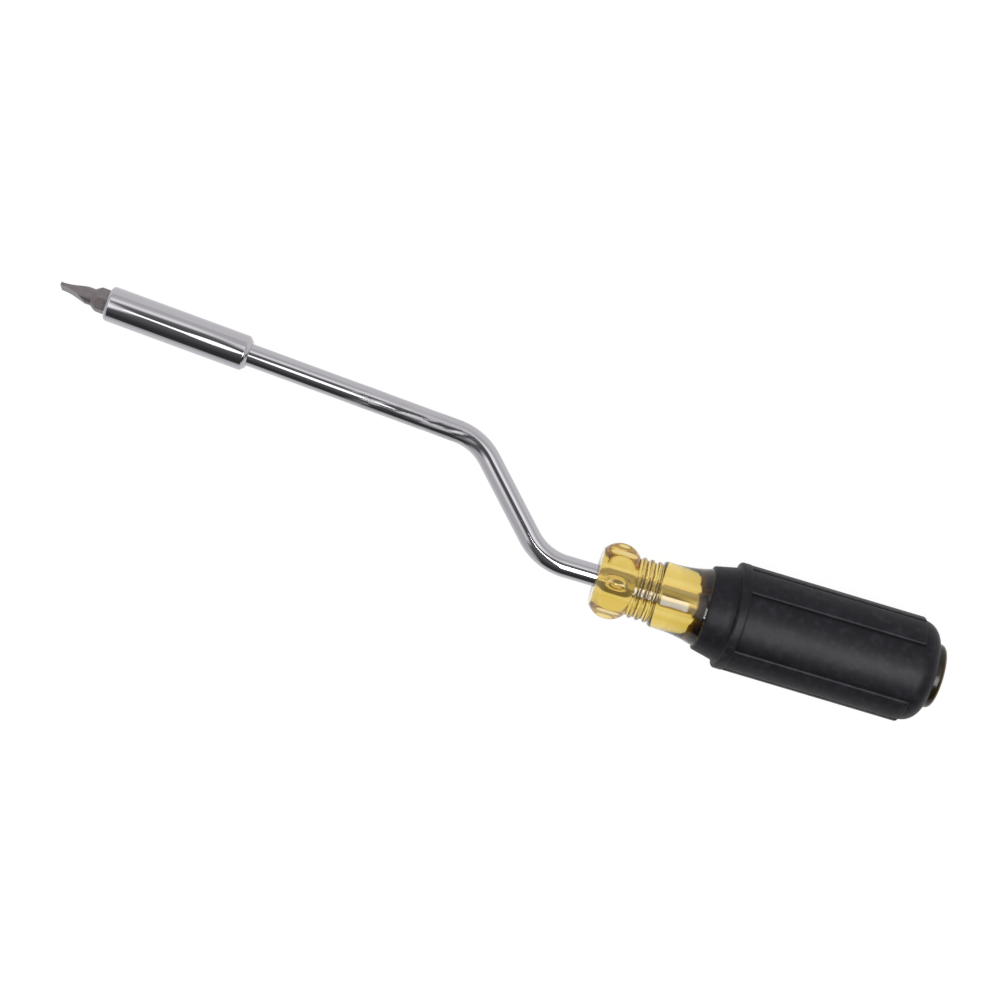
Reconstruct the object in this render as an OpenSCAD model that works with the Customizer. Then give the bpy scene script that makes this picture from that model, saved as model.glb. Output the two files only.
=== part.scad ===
// Crank screwdriver: a bent rod with a hexagon bit holder, and a clear handle that turns freely on it.
// The handle's axis is X. The butt's flat face is at the origin and faces +X, and the bit points to -X.
// The tool lies as it would on a table: the grip and the front of the holder touch the same level.

/* [Shank] */
// Diameter of the rod
rod_d = 6.35; // [5:0.05:8]
// Radius of both bends, at the middle of the rod
bend_r = 16.5; // [12:0.5:18]
// Angle of the bend next to the handle
rear_bend = 46; // [40:0.5:55]
// Angle of the bend next to the holder
front_bend = 42.5; // [38:0.5:46]
// Distance from the handle's axis to the corner of the front bend
crank_offset = 27.1; // [24:0.1:40]
// Distance from the handle's front to the corner of the rear bend
rear_reach = 16.1; // [12:0.1:30]
// Distance from the corner of the front bend to the holder
front_reach = 67.7; // [30:0.1:110]
// Chamfer on the ends of the rod
rod_chamfer = 0.5; // [0.2:0.1:1]
// How much the rod draws in at its bends, on the radius
bend_draw = 0.02; // [0.02:0.01:0.1]
// Angle by which each bend laps into the straight runs
bend_lap = 1.5; // [1:0.1:3]

/* [Bit holder] */
// Length of the holder
holder_l = 41.5; // [36:0.5:60]
// Wall between the socket's corners and the outside
holder_wall = 1.25; // [1:0.05:2.5]
// Radius of the holder's front edge
holder_front_r = 1.1; // [0.4:0.1:1.2]
// Chamfer on the holder's rear edge
holder_rear_chamfer = 1.3; // [0.4:0.1:1.6]
// Width of the step at the mouth of the socket
mouth_step = 0.35; // [0.1:0.05:0.6]
// Length of the rod inside the holder
rod_seat_l = 11.9; // [8:0.1:14]
// Thickness of the magnet
magnet_t = 3; // [2:0.1:4]
// Thickness of the spring clip's wire
clip_wire = 0.7; // [0.5:0.05:0.8]
// Distance from the holder's front to the middle of the spring clip
clip_depth = 6; // [4:0.5:9]

/* [Bit] */
// Width across the flats of the bit's hexagon
hex_af = 6.35; // [5.5:0.05:7]
// Length of the bit
bit_l = 40; // [37:0.5:50]
// Length of the slotted end, from the hexagon to the tip
blade_end_l = 11.1; // [9.5:0.1:14]
// Length of the cross-point end, from the hexagon to the point
point_end_l = 10.9; // [9:0.1:13]
// Length of the cone from the hexagon down to the neck
cone_l = 1.9; // [1:0.1:2.2]
// Length of the round neck
neck_l = 1.2; // [0.8:0.1:2]
// Diameter of the round necks
neck_d = 4.8; // [4:0.1:5.4]
// Width of the blade
blade_w = 4.8; // [4.6:0.1:6.2]
// Thickness of the blade at its tip
blade_t = 0.95; // [0.6:0.05:1.4]
// How far the ground faces cut into the neck, on the radius
flat_cut = 0.1; // [0.05:0.05:0.3]
// Length of the lead from the neck to the ground faces
flat_lead = 0.5; // [0.3:0.1:1]
// Radius of the hollow-ground faces of the blade
grind_r = 16.5; // [14:0.5:60]
// Width of the cross point's flat end
point_w = 2.3; // [1.6:0.1:2.6]
// Width of the cross point's wings
wing_t = 1.1; // [0.8:0.05:1.4]
// Slope of the flutes between the wings
flute_slope = 9; // [6:0.5:12]
// Turn of the bit in the holder, from its blade square to the bend plane
bit_roll = 15; // [0:1:30]

/* [Handle core] */
// Length of the grip
grip_l = 66; // [60:0.1:80]
// Length of the waist, from the grip to the beads
waist_l = 13.9; // [9:0.1:20]
// Diameter of the waist
waist_d = 19; // [17.6:0.1:20]
// Radius of the waist's flare towards the grip
flare_r = 33.5; // [20:0.5:40]
// Length of the straight part of the waist, with its rounded edge
waist_straight = 3.1; // [2:0.1:7]
// Radius of the waist's front edge
waist_edge_r = 1.1; // [0.4:0.1:1.1]
// Number of beads
bead_n = 3; // [1:1:4]
// Spacing of the beads
bead_pitch = 2.2; // [1.8:0.1:2.3]
// Radius of a bead's rounded top
bead_r = 0.65; // [0.5:0.05:0.9]
// Height of the beads above the grooves between them
bead_h = 0.6; // [0.3:0.05:0.8]
// Distance from the waist to the middle of the first bead
bead_lead = 1; // [0.6:0.1:1.6]
// Distance from the middle of the last bead to the rear of the knob's arc
bead_tail = 0.2; // [0.2:0.1:1]
// Diameter at the bottom of the grooves between the beads
groove_d = 16.4; // [15:0.1:17]
// Length of the knob
knob_l = 11.6; // [9:0.1:15]
// Diameter of the knob
knob_d = 21.8; // [20:0.1:24]
// How much of the knob's arc its flat front cuts off
knob_cut = 1; // [0.2:0.1:2]
// Number of scallops round the knob
scallop_n = 8; // [6:1:10]
// Diameter across the bottoms of opposite scallops
scallop_d = 19.5; // [18.8:0.1:20.4]
// Radius of each scallop
scallop_r = 11; // [8:0.5:16]
// Diameter of the barrel under the grip
barrel_d = 22.3; // [20.6:0.1:23]
// Length of the front journal that runs on the rod
journal_l = 12; // [8:0.5:16]
// Diameter of the relieved bore behind the journal
relief_d = 7.9; // [7:0.1:9]
// Wall of the core's rear nose, round the cavity
nose_wall = 1.2; // [0.8:0.1:1.8]
// Length of the core's rear nose
nose_l = 2.4; // [1.5:0.1:3.5]
// Length of the taper from the nose to the barrel
nose_taper_l = 4; // [3:0.1:6]

/* [Grip] */
// Diameter over the shoulder band
grip_d = 30.6; // [28:0.1:34]
// Height of the ribs above the panels
rib_h = 0.8; // [0.5:0.05:1.8]
// How far the ribs lie below the shoulder band, on the radius
rib_drop = 0.1; // [0.05:0.05:0.4]
// Distance from the rounded rear end to the ribs
rib_inset = 0.2; // [0.1:0.1:3]
// Radius of the grip's rounded rear end
rear_round = 5.4; // [4:0.1:6.6]
// Length of the shoulder band, with its rounded edge
band_l = 3; // [2:0.1:6]
// Radius of the shoulder's edge
shoulder_r = 0.9; // [0.5:0.1:1.5]
// Length of the tapered collar
collar_l = 6.6; // [4:0.1:9]
// Diameter of the collar at the shoulder
collar_rear_d = 27.1; // [25:0.1:27.4]
// Diameter of the collar at its front
collar_front_d = 24.1; // [23.5:0.1:25]
// Half angle of a wide panel
panel_half = 33.5; // [30:0.5:42]
// Number of ribs on each side, between the wide panels
rib_n = 3; // [2:1:4]
// Angle of the groove between ribs
rib_gap = 4; // [3:0.5:10]

/* [End plug] */
// Diameter of the plug's head
plug_d = 18.4; // [16.6:0.1:19]
// Thickness of the plug's head
plug_t = 2.5; // [1.8:0.1:3.5]
// Radius of the head's rear edge
plug_edge_r = 1.4; // [0.4:0.1:1.7]
// Length of the plug inside the cavity
spigot_l = 8.7; // [6:0.1:12]

/* [Bearing] */
// Wall of the rear bush
bush_wall = 1.75; // [1:0.05:2.2]
// Length of the bush in its seat
bush_l = 15; // [8:0.5:20]
// Width and thickness of the bush's flange
bush_flange = 1.4; // [0.8:0.1:2]
// Thickness of the thrust washer
washer_t = 1; // [0.6:0.1:1.5]
// Thickness of the retaining ring
ring_t = 1; // [0.7:0.1:1.4]
// Width of the retaining ring
ring_w = 2.1; // [1.6:0.1:2.4]
// Depth of the ring's groove in the rod
ring_groove = 0.6; // [0.4:0.05:0.8]
// Length of the rod behind its groove
tail_tip_l = 2.5; // [1.5:0.1:4]
// Diameter of the thrust ball
ball_d = 5; // [4:0.1:5.5]
// Depth of the ball's pocket in the plug
pocket_depth = 2.3; // [1.8:0.1:2.4]

/* [Fits] */
// Running clearance on the radius
run_gap = 0.08; // [0.04:0.01:0.1]
// Gap at pressed and moulded seats, on the radius
seat_gap = 0.02; // [0.01:0.01:0.05]
// End float at the thrust faces
end_gap = 0.2; // [0.1:0.05:0.3]
// Clearance of the bit on each flat of its socket
hex_gap = 0.08; // [0.05:0.01:0.15]

/* [Hidden] */
$fn = 96;
over = 1;

plated = "#c9cbcd";
dark_steel = "#6b655e";
amber = "#d9b13f";
black_rubber = "#3a393c";
bronze = "#b08d57";

// Angle that a split ring covers
split = 310;

// Places along the handle's axis, counted forward from the butt's flat face
grip_front = plug_t + grip_l;
waist_front = grip_front + waist_l;
bead_axis_r = groove_d / 2 + bead_h - bead_r;
beads_l = bead_lead + (bead_n - 1) * bead_pitch + bead_tail;
knob_rear = waist_front + beads_l;
handle_l = knob_rear + knob_l;
rear_corner = handle_l + rear_reach;

// Bearing at the rear of the handle, from the plug forward
pocket_d = ball_d + 2 * run_gap;
plug_end = plug_t + spigot_l;
ball_s = plug_end - pocket_depth + run_gap + ball_d / 2;
tail_s = ball_s + ball_d / 2 + run_gap;
ring_s = tail_s + tail_tip_l;
washer_s = ring_s + ring_t + end_gap;
flange_s = washer_s + washer_t + end_gap;
bush_s = flange_s + bush_flange;
run_d = rod_d + 2 * run_gap;
bush_d = run_d + 2 * bush_wall;
bush_flange_d = bush_d + 2 * bush_flange;
cavity_d = bush_flange_d + 2 * seat_gap;
nose_d = cavity_d + 2 * nose_wall;
groove_root_d = rod_d - 2 * ring_groove;

// Outline of the knob: one large arc, cut off square at the front
knob_arc = knob_l / 2 + knob_cut / 2;
knob_middle = handle_l - knob_arc + knob_cut;

// Grip
rib_d = grip_d - 2 * rib_drop;
base_d = rib_d - 2 * rib_h;
collar_s = grip_front - collar_l;
band_s = collar_s - band_l;
rib_s = plug_t + rear_round + rib_inset;
rib_span = (180 - 2 * panel_half - (rib_n - 1) * rib_gap) / rib_n;

// Crank: the corners lie in the bend plane, which holds X and Y before the tool is laid down
toe = rear_bend - front_bend;
arm_l = crank_offset / sin(rear_bend);
arm_turn = 180 - rear_bend;
rear_tangent = bend_r * tan(rear_bend / 2);
front_tangent = bend_r * tan(front_bend / 2);
rear_corner_at = [-rear_corner, 0, 0];
front_corner_at = rear_corner_at + arm_l * heading(arm_turn);

// Holder and bit, counted forward from the holder's rear face
hex_corner_d = hex_af / cos(30);
socket_af = hex_af + 2 * hex_gap;
socket_corner_d = socket_af / cos(30);
mouth_d = socket_corner_d + mouth_step;
holder_d = socket_corner_d + 2 * holder_wall;
rod_seat_d = rod_d + 2 * seat_gap;
magnet_d = rod_d - 2 * seat_gap;
bit_a = rod_seat_l + magnet_t + end_gap;
hex_a = bit_a + point_end_l;
hex_l = bit_l - point_end_l - blade_end_l;
socket_a = hex_a - end_gap;
clip_a = holder_l - clip_depth;
clip_seat_d = socket_corner_d + 2 * clip_wire;
blade_l = blade_end_l - cone_l - neck_l;

// Roll about the handle's axis that brings the holder's front edge down to the level of the grip
holder_front_offset = crank_offset + (front_reach + holder_l - holder_front_r) * sin(toe);
rest_roll = asin((grip_d - holder_d) / 2 / holder_front_offset);

function heading(angle) = [cos(angle), sin(angle), 0];

// Turns the bend plane to the way the tool lies
module lay_down() rotate([-rest_roll, 0, 0]) children();

// Stands a shape made along Z on the handle's axis, with Z running forward and X facing out of the panel
module on_handle(s = 0) lay_down() rotate([0, -90, 0]) translate([0, 0, s]) children();

// Stands a shape made along Z on the bit's axis, with Z running forward from the holder's rear face
module on_bit(a = 0)
    lay_down()
    translate(front_corner_at)
    rotate([0, 0, -toe])
    rotate([0, -90, 0])
    translate([0, 0, front_reach + a])
    children();

// Straight piece of the rod in the bend plane
module rod_run(start, angle, length)
    translate(start)
    rotate([0, 90, angle])
    cylinder(d = rod_d, h = length);

// Bend of the rod in the bend plane, about its own centre, lapped a little into the straight runs
module rod_bend(centre, from, angle)
    translate(centre)
    rotate([0, 0, from - bend_lap])
    rotate_extrude(angle = angle + 2 * bend_lap)
    translate([bend_r, 0])
    circle(d = rod_d - 2 * bend_draw);

// Cutter that leaves a chamfer on the end of a round bar, with the bar along Z and its end at the origin
module end_chamfer(d, size)
    rotate_extrude()
    polygon([[d / 2 - size - over, over], [d / 2 + over, -size - over], [d / 2 + over, over]]);

// Flat ring along Z
module ring(outer_d, inner_d, h) {
    difference() {
        cylinder(d = outer_d, h = h);
        translate([0, 0, -over]) cylinder(d = inner_d, h = h + 2 * over);
    }
}

// Quarter of a disc, in the corner where X and Y are positive
module quarter_disc(r)
    intersection() {
        circle(r = r);
        square(r);
    }

// Hexagon bar along Z, with two of its corners on the X axis
module hexagon(af, h) cylinder(d = af / cos(30), h = h, $fn = 6);

// Hexagon of the bit along Z, from z = 0, with its corners turned down to cones that run into the necks
module bit_hexagon() {
    corner_r = hex_corner_d / 2 + seat_gap;
    inner_r = neck_d / 2 - over * (corner_r - neck_d / 2) / cone_l;
    intersection() {
        translate([0, 0, -cone_l - 2 * over]) hexagon(hex_af, hex_l + 2 * cone_l + 4 * over);
        rotate_extrude()
            polygon([
                [0, -cone_l - over],
                [inner_r, -cone_l - over],
                [corner_r, 0],
                [corner_r, hex_l],
                [inner_r, hex_l + cone_l + over],
                [0, hex_l + cone_l + over]
            ]);
    }
}

// Slotted end along Z, from the end of the cone: a neck, then a blade flared in width
module slotted_end()
    intersection() {
        rotate_extrude()
            polygon([
                [0, -cone_l - over],
                [neck_d / 2, -cone_l - over],
                [neck_d / 2, neck_l],
                [blade_w / 2 + blade_t, neck_l + blade_l],
                [0, neck_l + blade_l]
            ]);
        rotate([90, 0, 0]) linear_extrude(2 * neck_d, center = true) blade_front();
        rotate([90, 0, 90]) linear_extrude(2 * blade_w, center = true) blade_side();
    }

// Front view of the slotted end: clear of the neck, then ground flat on both sides and flared to the tip
module blade_front() {
    clear_r = neck_d / 2 + blade_t;
    root_r = neck_d / 2 - flat_cut;
    flare = (blade_w / 2 - root_r) / (blade_l - flat_lead);
    right = [
        [clear_r, -cone_l - 2 * over],
        [clear_r, neck_l],
        [root_r, neck_l + flat_lead],
        [blade_w / 2 + flare * over, neck_l + blade_l + over]
    ];
    left = [for (i = [len(right) - 1:-1:0]) [-right[i][0], right[i][1]]];
    polygon(concat(right, left));
}

// Side view of the slotted end, hollow-ground on both faces of the blade
module blade_side() {
    clear_r = neck_d / 2 + blade_t;
    root = [neck_d / 2 - flat_cut, neck_l + flat_lead];
    tip = [blade_t / 2, neck_l + blade_l];
    chord = tip - root;
    sink = sqrt(grind_r * grind_r - chord * chord / 4);
    middle = (root + tip) / 2 + sink * [chord[1], -chord[0]] / norm(chord);
    difference() {
        translate([-clear_r, -cone_l - 2 * over])
            square([2 * clear_r, cone_l + neck_l + blade_l + 3 * over]);
        for (side = [0, 1])
            mirror([side, 0])
            translate(middle)
            circle(r = grind_r, $fn = 200);
    }
}

// Cross point along Z, from the end of the cone: a neck and a pointed end with four flutes between its wings
module cross_end() {
    length = point_end_l - cone_l;
    difference() {
        rotate_extrude()
            polygon([
                [0, -cone_l - over],
                [neck_d / 2, -cone_l - over],
                [neck_d / 2, length - neck_d],
                [point_w / 2, length],
                [0, length]
            ]);
        for (quarter = [0:3])
            rotate(quarter * 90)
            translate([wing_t / 2, wing_t / 2, length])
            rotate([flute_slope, -flute_slope, 0])
            translate([0, 0, -length])
            cube([neck_d, neck_d, length + over]);
    }
}

module driver_bit() {
    color(dark_steel)
        on_bit(hex_a)
        rotate(bit_roll) {
            bit_hexagon();
            translate([0, 0, hex_l + cone_l]) slotted_end();
            mirror([0, 0, 1]) translate([0, 0, cone_l]) cross_end();
        }
}

// Split ring of round wire in the holder's groove
module bit_clip() {
    color(plated)
        on_bit(clip_a)
        rotate_extrude(angle = split)
        translate([(clip_seat_d - clip_wire) / 2 - seat_gap, 0])
        circle(d = clip_wire - 2 * seat_gap, $fn = 24);
}

module bit_holder() {
    color(plated)
        on_bit()
        difference() {
            holder_outside();
            translate([0, 0, -over]) cylinder(d = rod_seat_d, h = socket_a + over);
            translate([0, 0, socket_a - over])
                rotate(bit_roll)
                hexagon(socket_af, holder_l - socket_a + 2 * over);
            translate([0, 0, clip_a - clip_wire / 2]) cylinder(d = clip_seat_d, h = clip_wire);
            translate([0, 0, holder_l - mouth_step])
                cylinder(d1 = mouth_d - 2 * mouth_step, d2 = mouth_d + 2 * over, h = mouth_step + over);
        }
}

// Outside of the holder: chamfered at the rear and rounded at the front
module holder_outside()
    rotate_extrude()
    union() {
        polygon([
            [0, 0],
            [holder_d / 2 - holder_rear_chamfer, 0],
            [holder_d / 2, holder_rear_chamfer],
            [holder_d / 2, holder_l - holder_front_r],
            [holder_d / 2 - holder_front_r, holder_l - holder_front_r],
            [holder_d / 2 - holder_front_r, holder_l],
            [0, holder_l]
        ]);
        translate([holder_d / 2 - holder_front_r, holder_l - holder_front_r]) quarter_disc(holder_front_r);
    }

module socket_magnet() color(plated) on_bit(rod_seat_l) cylinder(d = magnet_d, h = magnet_t);

module shank() {
    color(plated)
        lay_down()
        difference() {
            shank_bar();
            rotate([0, -90, 0]) translate([0, 0, tail_s]) mirror([0, 0, 1]) end_chamfer(rod_d, rod_chamfer);
            rotate([0, -90, 0]) translate([0, 0, ring_s]) ring(rod_d + over, groove_root_d, ring_t);
        }
}

// The bent bar: tail, rear bend, arm, front bend and front leg
module shank_bar() {
    rear_start = rear_corner_at + rear_tangent * heading(0);
    arm_start = rear_corner_at + rear_tangent * heading(arm_turn);
    arm_end = front_corner_at - front_tangent * heading(arm_turn);
    leg_start = front_corner_at + front_tangent * heading(180 - toe);
    rod_run([-tail_s, 0, 0], 180, rear_corner - rear_tangent - tail_s);
    rod_bend(rear_start + [0, bend_r, 0], -90 - rear_bend, rear_bend);
    rod_run(arm_start, arm_turn, arm_l - rear_tangent - front_tangent);
    rod_bend(arm_end + bend_r * heading(arm_turn + 90), arm_turn - 90, front_bend);
    rod_run(leg_start, 180 - toe, front_reach + rod_seat_l - front_tangent);
}

// Split flat ring in the tail's groove
module retaining_ring() {
    color(plated)
        on_handle(ring_s + seat_gap)
        rotate_extrude(angle = split)
        translate([groove_root_d / 2 + seat_gap, 0])
        square([ring_w - seat_gap, ring_t - 2 * seat_gap]);
}

module handle_core() {
    color(amber, 0.6)
        on_handle()
        difference() {
            rotate_extrude() core_outline();
            for (i = [0:scallop_n - 1])
                rotate((i + 0.5) * 360 / scallop_n)
                translate([scallop_d / 2 + scallop_r, 0, knob_rear])
                cylinder(r = scallop_r, h = knob_l + over);
            cylinder(d = run_d, h = handle_l + over);
            cylinder(d = relief_d, h = handle_l - journal_l);
            cylinder(d = bush_d + 2 * seat_gap, h = bush_s + bush_l);
            cylinder(d = cavity_d, h = bush_s);
        }
}

// Half outline of the core: nose, barrel, flared waist, beads and knob
module core_outline() {
    barrel_end();
    waist();
    translate([0, waist_front - over]) square([groove_d / 2, beads_l + 2 * over]);
    for (i = [0:bead_n - 1])
        translate([bead_axis_r, waist_front + bead_lead + i * bead_pitch])
        circle(r = bead_r, $fn = 48);
    intersection() {
        translate([knob_d / 2 - knob_arc, knob_middle]) circle(r = knob_arc);
        translate([0, knob_rear]) square([knob_d, knob_l]);
    }
    translate([0, knob_rear]) square([knob_d / 2 - knob_arc, knob_l]);
}

// Half outline of the barrel under the grip, with its rear nose, made longer at both ends by reach
module barrel_end(gap = 0, reach = 0)
    polygon([
        [0, plug_t - reach],
        [nose_d / 2 + gap, plug_t - reach],
        [nose_d / 2 + gap, plug_t + nose_l],
        [barrel_d / 2 + gap, plug_t + nose_l + nose_taper_l],
        [barrel_d / 2 + gap, grip_front + reach],
        [0, grip_front + reach]
    ]);

// Half outline of the waist, hollowed by one large arc towards the grip and rounded at its front edge
module waist() {
    edge_s = waist_front - waist_edge_r;
    edge_r = waist_d / 2 - waist_edge_r;
    difference() {
        translate([0, grip_front]) square([barrel_d / 2, edge_s - grip_front]);
        translate([waist_d / 2 + flare_r, waist_front - waist_straight]) circle(r = flare_r, $fn = 200);
        translate([waist_d / 2, waist_front - waist_straight]) square([barrel_d, waist_straight + over]);
    }
    translate([0, edge_s - over]) square([edge_r, waist_edge_r + over]);
    translate([edge_r, edge_s]) quarter_disc(waist_edge_r);
}

module cushion_grip() {
    color(black_rubber)
        on_handle()
        difference() {
            union() {
                rotate_extrude() grip_outline();
                for (side = [0, 180], i = [0:rib_n - 1])
                    rotate(side + panel_half + i * (rib_span + rib_gap)) grip_rib();
            }
            rotate_extrude() barrel_end(seat_gap, over);
        }
}

// One long rib, rooted in the grip and running into the shoulder band
module grip_rib() {
    root_r = (base_d + barrel_d) / 4;
    rotate_extrude(angle = rib_span)
        translate([root_r, rib_s])
        square([rib_d / 2 - root_r, band_s + (band_l - shoulder_r) / 2 - rib_s]);
}

// Half outline of the grip without its ribs: round rear end, panels, shoulder band and collar
module grip_outline() {
    round_s = plug_t + rear_round;
    round_r = base_d / 2 - rear_round;
    edge_s = collar_s - shoulder_r;
    edge_r = grip_d / 2 - shoulder_r;
    polygon([
        [0, plug_t],
        [round_r, plug_t],
        [round_r, round_s],
        [base_d / 2, round_s],
        [base_d / 2, band_s],
        [grip_d / 2, band_s],
        [grip_d / 2, edge_s],
        [edge_r, edge_s],
        [edge_r, collar_s],
        [collar_rear_d / 2, collar_s],
        [collar_front_d / 2, grip_front],
        [0, grip_front]
    ]);
    translate([round_r, round_s]) mirror([0, 1]) quarter_disc(rear_round);
    translate([edge_r, edge_s]) quarter_disc(shoulder_r);
}

module rear_bush() {
    color(bronze)
        on_handle(flange_s) {
            ring(bush_flange_d, run_d, bush_flange);
            translate([0, 0, bush_flange]) ring(bush_d, run_d, bush_l);
        }
}

module thrust_washer() color(plated) on_handle(washer_s) ring(bush_flange_d, run_d, washer_t);

module thrust_ball() color(plated) on_handle(ball_s) sphere(d = ball_d);

// Cap with a rounded edge, and a spigot whose end holds the ball
module end_plug() {
    color(amber, 0.6)
        on_handle()
        difference() {
            union() {
                rotate_extrude() plug_head();
                translate([0, 0, plug_t]) cylinder(d = cavity_d - 2 * seat_gap, h = spigot_l);
            }
            translate([0, 0, plug_end - pocket_depth]) cylinder(d = pocket_d, h = pocket_depth + over);
        }
}

// Half outline of the plug's head, rounded at the rear edge
module plug_head() {
    flat_r = plug_d / 2 - plug_edge_r;
    square([flat_r, plug_t]);
    translate([0, plug_edge_r]) square([plug_d / 2, plug_t - plug_edge_r]);
    translate([flat_r, plug_edge_r]) mirror([0, 1]) quarter_disc(plug_edge_r);
}

driver_bit();
bit_clip();
bit_holder();
socket_magnet();
shank();
retaining_ring();
handle_core();
cushion_grip();
rear_bush();
thrust_washer();
thrust_ball();
end_plug();
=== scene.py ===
# %% [markdown]
# # A crank screwdriver with a free-turning amber handle
# The tool is a bright plated rod with two bends, a bit holder on its front end, and a clear amber
# handle in a black rubber grip that turns freely on the rod's tail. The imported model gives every
# piece its place and its motion. This lesson gives each piece its finished surface and its material.
# We start by loading that model, and keep its box, so that we can compare sizes at the end. Light goes
# in and out of clear plastic many times before it reaches the eye, so the limits on bounces are raised.

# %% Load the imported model
import math

import bmesh
import bpy
from mathutils import Matrix, Vector


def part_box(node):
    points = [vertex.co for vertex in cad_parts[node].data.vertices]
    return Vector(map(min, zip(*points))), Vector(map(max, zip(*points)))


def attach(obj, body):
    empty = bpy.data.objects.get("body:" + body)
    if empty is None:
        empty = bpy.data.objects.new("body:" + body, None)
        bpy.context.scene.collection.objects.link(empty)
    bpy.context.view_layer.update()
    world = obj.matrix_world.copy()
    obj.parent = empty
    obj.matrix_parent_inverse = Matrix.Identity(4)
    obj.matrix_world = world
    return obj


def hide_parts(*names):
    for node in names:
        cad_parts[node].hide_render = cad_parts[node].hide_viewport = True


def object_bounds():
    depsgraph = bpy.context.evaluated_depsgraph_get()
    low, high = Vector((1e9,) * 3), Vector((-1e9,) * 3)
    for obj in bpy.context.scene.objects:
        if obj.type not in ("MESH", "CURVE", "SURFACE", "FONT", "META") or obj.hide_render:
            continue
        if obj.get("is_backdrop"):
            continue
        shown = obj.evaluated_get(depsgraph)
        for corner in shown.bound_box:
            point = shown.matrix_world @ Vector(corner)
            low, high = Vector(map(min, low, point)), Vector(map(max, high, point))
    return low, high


CLEAR_BOUNCES = 32
MIRROR_BOUNCES = 16

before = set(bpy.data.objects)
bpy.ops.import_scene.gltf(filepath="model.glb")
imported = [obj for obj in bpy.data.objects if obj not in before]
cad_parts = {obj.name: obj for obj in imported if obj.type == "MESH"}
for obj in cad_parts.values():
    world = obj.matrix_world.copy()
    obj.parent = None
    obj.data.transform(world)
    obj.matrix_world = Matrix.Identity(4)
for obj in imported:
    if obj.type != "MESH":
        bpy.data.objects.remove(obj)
cad_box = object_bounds()
scene = bpy.context.scene
scene.view_settings.view_transform = "Standard"
scene.cycles.max_bounces = CLEAR_BOUNCES
scene.cycles.transmission_bounces = CLEAR_BOUNCES
scene.cycles.glossy_bounces = MIRROR_BOUNCES
print("nodes loaded:", ", ".join(sorted(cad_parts)))

# %% [markdown]
# ## Two frames to work in
# The handle is a body turned round one axis, and so are the holder and the bit, but the two axes are
# not the same line. It is easiest to model each piece upright on Z, in millimetres, and to move the
# finished mesh into place with one matrix. The tool lies on a table, rolled about the handle's axis
# until the holder touches the table too, so both matrices start with that roll.

# %% Matrices that lay the pieces down
MM = 0.001
REST_ROLL = math.radians(17.7816)
CRANK_OFFSET = 27.1
FRONT_CORNER = Vector((-141.87, CRANK_OFFSET, 0))
FRONT_REACH = 67.7
TOE = math.radians(3.5)
BIT_ROLL = math.radians(15)

bend_plane = Matrix.Scale(MM, 4) @ Matrix.Rotation(-REST_ROLL, 4, "X")
stand_up = Matrix.Rotation(math.radians(-90), 4, "Y")
on_handle = bend_plane @ stand_up
on_bit = (
    bend_plane
    @ Matrix.Translation(FRONT_CORNER)
    @ Matrix.Rotation(-TOE, 4, "Z")
    @ stand_up
    @ Matrix.Translation((0, 0, FRONT_REACH))
    @ Matrix.Rotation(BIT_ROLL, 4, "Z")
)
print("holder's rear face is centred at", [round(c, 4) for c in on_bit.to_translation()])

# %% [markdown]
# ## The camera
# The tool was seen from almost straight above, with a lens that is long for the frame. A camera looks
# along its own -Z, so we need the direction back towards the lens and one more fact to fix its roll:
# the handle's axis runs a little over 16 degrees down to the right in the picture.

# %% Camera
LENS_BACK = Vector((-0.02814, 0.33657, 0.94124)).normalized()
LENS_PLACE = Vector((-0.148645, 0.21796, 0.572359))
LENS_LENGTH = 79.2
SENSOR_W = 36
HANDLE_SLOPE = math.radians(16.628)
handle_axis = Vector((1, 0, 0))
across = (handle_axis - handle_axis.dot(LENS_BACK) * LENS_BACK).normalized()
lens_right = Matrix.Rotation(HANDLE_SLOPE, 3, LENS_BACK) @ across
lens_up = LENS_BACK.cross(lens_right)

camera_data = bpy.data.cameras.new("camera")
camera_data.sensor_width = SENSOR_W
camera_data.lens = LENS_LENGTH
camera = bpy.data.objects.new("camera", camera_data)
turn = Matrix((lens_right, lens_up, LENS_BACK)).transposed().to_4x4()
camera.matrix_world = Matrix.Translation(LENS_PLACE) @ turn
scene.collection.objects.link(camera)
scene.camera = camera
print("camera looks down at", round(math.degrees(math.asin(LENS_BACK.z)), 1), "degrees")

# %% [markdown]
# ## Colours and nodes
# Colours are written as they are picked on a screen, as sRGB hex values, but Blender mixes light in
# linear numbers, so one function converts them. A second small function adds a node to a tree, sets
# its properties, and fills its inputs: a value is set, and an output socket is linked.

# %% Colour and node helpers
def linear(hex_colour):
    channels = [int(hex_colour[i : i + 2], 16) / 255 for i in (1, 3, 5)]
    curve = [c / 12.92 if c <= 0.04045 else ((c + 0.055) / 1.055) ** 2.4 for c in channels]
    return (*curve, 1.0)


def add_node(tree, kind, inputs=(), **settings):
    made = tree.nodes.new(kind)
    for name, value in settings.items():
        setattr(made, name, value)
    for name, value in dict(inputs).items():
        if isinstance(value, bpy.types.NodeSocket):
            tree.links.new(value, made.inputs[name])
        else:
            made.inputs[name].default_value = value
    return made


print("mid grey #808080 is", round(linear("#808080")[0], 3), "in linear light")

# %% [markdown]
# ## The floor
# The tool lies on plain white. A floor that is only lit would come out grey, and more light would
# wash out the tool, so the floor shines with a strength of 1 for the rays that look at it from the
# camera, through the amber or by way of the plating. A part of it stays a real matt surface, which
# keeps the soft shadow under the tool.

# %% Floor
WHITE = (1, 1, 1, 1)
SHINE_SHARE = 0.9
SHINE_STRENGTH = 1.06
FLOOR_R = 8
TOOL_MIDDLE_X = -0.13


def make_material(name):
    material = bpy.data.materials.new(name)
    material.use_nodes = True
    material.node_tree.nodes.clear()
    return material, material.node_tree


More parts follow.
